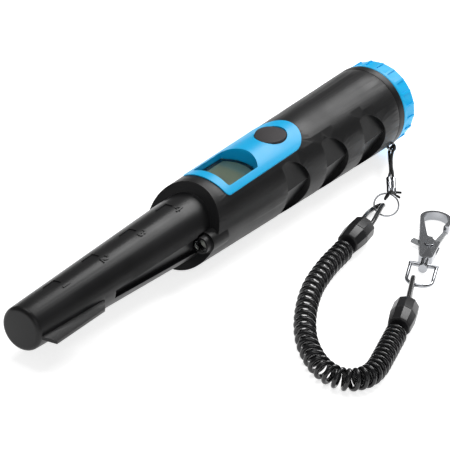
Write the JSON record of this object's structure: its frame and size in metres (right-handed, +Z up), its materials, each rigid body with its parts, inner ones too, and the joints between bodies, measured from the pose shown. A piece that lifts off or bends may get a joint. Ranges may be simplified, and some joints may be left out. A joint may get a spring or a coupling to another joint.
{
  "type": "pinpointer probe",
  "caption": "Hand-held pinpointer probe for metal detecting, with display, lamp, vibration alert, blue screw cap and a curly lanyard with snap hook.",
  "frame": {"origin": "centre of the probe's bounding box on the surface it lies on, measured without the lanyard", "axes": "+Z up, display upwards; +X from the tip to the battery cap"},
  "size_m": [0.266, 0.1356, 0.0398],
  "materials": {
    "tube_plastic": "satin moulded black",
    "grip_plastic": "fine sparked black",
    "blue_plastic": "satin bright blue",
    "clear_plastic": "clear",
    "lcd": "grey-green display glass",
    "backlight": "diffusing white",
    "button_rubber": "matt warm grey-black",
    "black_rubber": "matt",
    "black_plastic": "satin",
    "white_plastic": "matt",
    "steel": "bright nickel plate",
    "plain_steel": "plain",
    "ferrite": "matt dark grey",
    "copper": "enamelled copper wire",
    "board": "green lacquer",
    "wire_red": "insulated wire",
    "battery_skin": "printed foil over steel",
    "foam": "open foam",
    "cord_black": "glossy black",
    "strap_black": "thin braided cord"
  },
  "bodies": {
    "root": {"probe_tube": "tube_plastic", "tube_o_ring": "black_rubber", "tube_lock_ring": "black_plastic", "ferrite_rod": "ferrite", "coil_former": "white_plastic", "search_coil": "copper", "coil_lead": "wire_red", "grip_shell": "grip_plastic", "lamp_lens": "clear_plastic", "lamp_led": "backlight", "lamp_lead": "wire_red", "display_panel": "blue_plastic", "display_window": "clear_plastic", "display_gasket": "black_rubber", "lcd_glass": "lcd", "lcd_backlight": "backlight", "tact_switch": "black_plastic", "main_board": "board", "board_chips": "black_plastic", "board_screws": "plain_steel", "chassis": "black_plastic", "buzzer": "black_plastic", "vibration_motor": "plain_steel", "battery": "battery_skin", "battery_snap": "black_plastic", "battery_lead": "wire_red", "strap_staple": "steel", "strap_cord": "strap_black", "crimp_sleeve": "steel", "ring_tie": "strap_black", "wire_ring": "steel", "upper_loop": "cord_black", "upper_ferrule": "black_plastic", "coil_cord": "cord_black", "lower_ferrule": "black_plastic", "lower_loop": "cord_black", "d_ring": "steel"},
    "button": {"power_button": "button_rubber", "switch_plunger": "white_plastic"},
    "cap": {"battery_cap": "blue_plastic"},
    "cap_seal": {"cap_o_ring": "black_rubber", "cap_pad": "foam"},
    "motor_rotor": {"motor_weight": "plain_steel"},
    "hook": {"hook_body": "steel", "hook_rivet": "steel", "hook_spring": "plain_steel"},
    "gate": {"hook_lever": "steel"}
  },
  "joints": [
    {"name": "button_press", "type": "slide", "parent": "root", "child": "button", "axis": [0.0172, 0, -0.9999], "range_m": [0, 0.0005], "stiffness_N_per_m": 2000},
    {"name": "cap_turn", "type": "hinge", "parent": "cap_seal", "child": "cap", "pos_m": [0.12709, 0, 0.01997], "axis": [0.9999, 0, 0.0172], "range_deg": [0, 720]},
    {"name": "cap_slide", "type": "slide", "parent": "root", "child": "cap_seal", "axis": [0.9999, 0, 0.0172], "range_m": [0, 0.004]},
    {"name": "motor_spin", "type": "hinge", "parent": "root", "child": "motor_rotor", "pos_m": [0.04309, 0, 0.01892], "axis": [0.9999, 0, 0.0172], "continuous": true},
    {"name": "hook_swivel", "type": "hinge", "parent": "root", "child": "hook", "pos_m": [0.04633, -0.0792, 0.00292], "axis": [0.9155, 0.4019, -0.0175], "continuous": true},
    {"name": "gate_open", "type": "hinge", "parent": "hook", "child": "gate", "pos_m": [0.05961, -0.07337, 0.00266], "axis": [0.016, 0.007, 0.9998], "range_deg": [0, 20], "stiffness_Nm_per_rad": 0.05}
  ],
  "couplings": [
    {"joint": "cap_slide", "follows": "cap_turn", "m_per_rad": 0.00031831}
  ]
}
